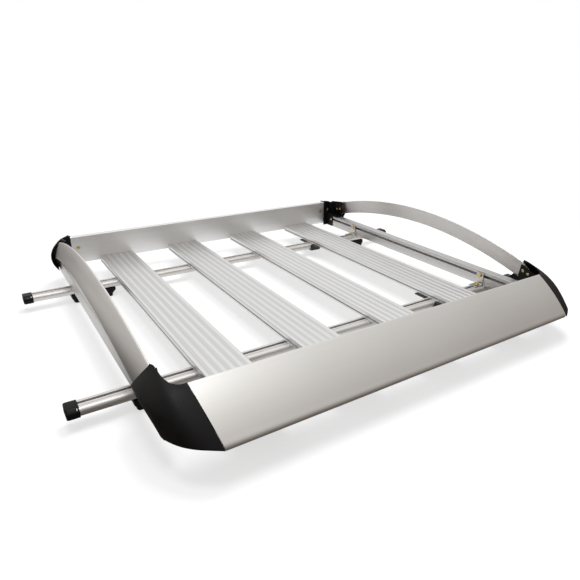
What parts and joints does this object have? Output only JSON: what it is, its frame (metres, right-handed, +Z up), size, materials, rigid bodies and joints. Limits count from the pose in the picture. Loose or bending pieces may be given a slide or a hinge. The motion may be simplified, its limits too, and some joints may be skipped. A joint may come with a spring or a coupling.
{
  "type": "roof cargo basket",
  "caption": "Aluminium roof cargo basket: slatted tray with a deflector panel, arched side bands and black corners, on T-slot crossbars with clamps for raised roof rails.",
  "frame": {"origin": "centre of the footprint, on the plane of the clamps' undersides", "axes": "+X across the vehicle along the crossbars, -Y to the front where the deflector panel is, +Z up"},
  "size_m": [1.2, 0.9886, 0.1874],
  "materials": {
    "slat_alu": "satin silver anodised, fine extrusion lines",
    "rail_alu": "satin silver anodised",
    "arch_alu": "satin silver anodised, brushed along its length",
    "fairing_alu": "satin silver anodised, brushed along its length",
    "bar_alu": "semi-bright anodised",
    "black_plastic": "fine moulded grain",
    "cap_plastic": "satin moulded",
    "foot_plastic": "glass-filled, fine grain",
    "black_steel": "black powder coat",
    "yellow_zinc": "yellow zinc plated",
    "zinc_steel": "clear zinc plated",
    "rubber": "matte"
  },
  "bodies": {
    "basket": {"front_fairing": "fairing_alu", "rear_rail": "rail_alu", "side_rail_left": "rail_alu", "arch_left": "arch_alu", "side_rail_right": "rail_alu", "arch_right": "arch_alu", "slat_1": "slat_alu", "slat_2": "slat_alu", "slat_3": "slat_alu", "slat_4": "slat_alu", "corner_shell_front_left": "black_plastic", "corner_shell_front_right": "black_plastic", "corner_shell_rear_left": "black_plastic", "corner_shell_rear_right": "black_plastic", "corner_bracket_front_left": "black_plastic", "corner_bracket_front_right": "black_plastic", "corner_bracket_rear_left": "black_plastic", "corner_bracket_rear_right": "black_plastic", "corner_screws": "yellow_zinc", "slat_screws_rear": "zinc_steel", "slat_screws_front": "zinc_steel"},
    "front_crossbar": {"crossbar_front": "bar_alu", "end_cap_front_left": "cap_plastic", "rail_bracket_front_left": "zinc_steel", "slat_clamp_front_left": "black_steel", "end_cap_front_right": "cap_plastic", "rail_bracket_front_right": "zinc_steel", "slat_clamp_front_right": "black_steel", "rail_bracket_bolts_front": "yellow_zinc", "slat_clamp_bolts_front": "yellow_zinc"},
    "rear_crossbar": {"crossbar_rear": "bar_alu", "end_cap_rear_left": "cap_plastic", "rail_bracket_rear_left": "zinc_steel", "slat_clamp_rear_left": "black_steel", "end_cap_rear_right": "cap_plastic", "rail_bracket_rear_right": "zinc_steel", "slat_clamp_rear_right": "black_steel", "rail_bracket_bolts_rear": "yellow_zinc", "slat_clamp_bolts_rear": "yellow_zinc"},
    "foot_body_front_left": {"foot_front_left": "foot_plastic", "foot_pad_front_left": "rubber", "foot_nuts_front_left": "zinc_steel"},
    "jaw_front_left": {"foot_jaw_front_left": "foot_plastic"},
    "clamp_bolt_body_front_left": {"clamp_bolt_front_left": "zinc_steel"},
    "foot_body_front_right": {"foot_front_right": "foot_plastic", "foot_pad_front_right": "rubber", "foot_nuts_front_right": "zinc_steel"},
    "jaw_front_right": {"foot_jaw_front_right": "foot_plastic"},
    "clamp_bolt_body_front_right": {"clamp_bolt_front_right": "zinc_steel"},
    "foot_body_rear_left": {"foot_rear_left": "foot_plastic", "foot_pad_rear_left": "rubber", "foot_nuts_rear_left": "zinc_steel"},
    "jaw_rear_left": {"foot_jaw_rear_left": "foot_plastic"},
    "clamp_bolt_body_rear_left": {"clamp_bolt_rear_left": "zinc_steel"},
    "foot_body_rear_right": {"foot_rear_right": "foot_plastic", "foot_pad_rear_right": "rubber", "foot_nuts_rear_right": "zinc_steel"},
    "jaw_rear_right": {"foot_jaw_rear_right": "foot_plastic"},
    "clamp_bolt_body_rear_right": {"clamp_bolt_rear_right": "zinc_steel"}
  },
  "joints": [
    {"name": "front_crossbar_slide", "type": "slide", "parent": "basket", "child": "front_crossbar", "axis": [0, 1, 0], "range_m": [-0.1, 0.2]},
    {"name": "rear_crossbar_slide", "type": "slide", "parent": "basket", "child": "rear_crossbar", "axis": [0, 1, 0], "range_m": [-0.16, 0.1]},
    {"name": "foot_slide_front_left", "type": "slide", "parent": "front_crossbar", "child": "foot_body_front_left", "axis": [1, 0, 0], "range_m": [-0.08, 0.07]},
    {"name": "jaw_slide_front_left", "type": "slide", "parent": "foot_body_front_left", "child": "jaw_front_left", "axis": [0, 0, -1], "range_m": [0, 0.018]},
    {"name": "clamp_bolt_turn_front_left", "type": "hinge", "parent": "jaw_front_left", "child": "clamp_bolt_body_front_left", "pos_m": [-0.397, -0.233, 0.01], "axis": [0, 0, -1], "range_deg": [-1, 5190]},
    {"name": "foot_slide_front_right", "type": "slide", "parent": "front_crossbar", "child": "foot_body_front_right", "axis": [1, 0, 0], "range_m": [-0.07, 0.08]},
    {"name": "jaw_slide_front_right", "type": "slide", "parent": "foot_body_front_right", "child": "jaw_front_right", "axis": [0, 0, -1], "range_m": [0, 0.018]},
    {"name": "clamp_bolt_turn_front_right", "type": "hinge", "parent": "jaw_front_right", "child": "clamp_bolt_body_front_right", "pos_m": [0.397, -0.233, 0.01], "axis": [0, 0, -1], "range_deg": [-1, 5190]},
    {"name": "foot_slide_rear_left", "type": "slide", "parent": "rear_crossbar", "child": "foot_body_rear_left", "axis": [1, 0, 0], "range_m": [-0.08, 0.07]},
    {"name": "jaw_slide_rear_left", "type": "slide", "parent": "foot_body_rear_left", "child": "jaw_rear_left", "axis": [0, 0, -1], "range_m": [0, 0.018]},
    {"name": "clamp_bolt_turn_rear_left", "type": "hinge", "parent": "jaw_rear_left", "child": "clamp_bolt_body_rear_left", "pos_m": [-0.397, 0.308, 0.01], "axis": [0, 0, -1], "range_deg": [-1, 5190]},
    {"name": "foot_slide_rear_right", "type": "slide", "parent": "rear_crossbar", "child": "foot_body_rear_right", "axis": [1, 0, 0], "range_m": [-0.07, 0.08]},
    {"name": "jaw_slide_rear_right", "type": "slide", "parent": "foot_body_rear_right", "child": "jaw_rear_right", "axis": [0, 0, -1], "range_m": [0, 0.018]},
    {"name": "clamp_bolt_turn_rear_right", "type": "hinge", "parent": "jaw_rear_right", "child": "clamp_bolt_body_rear_right", "pos_m": [0.397, 0.308, 0.01], "axis": [0, 0, -1], "range_deg": [-1, 5190]}
  ],
  "couplings": [
    {"joint": "clamp_bolt_turn_front_left", "follows": "jaw_slide_front_left", "rad_per_m": 5026.5},
    {"joint": "clamp_bolt_turn_front_right", "follows": "jaw_slide_front_right", "rad_per_m": 5026.5},
    {"joint": "clamp_bolt_turn_rear_left", "follows": "jaw_slide_rear_left", "rad_per_m": 5026.5},
    {"joint": "clamp_bolt_turn_rear_right", "follows": "jaw_slide_rear_right", "rad_per_m": 5026.5}
  ]
}
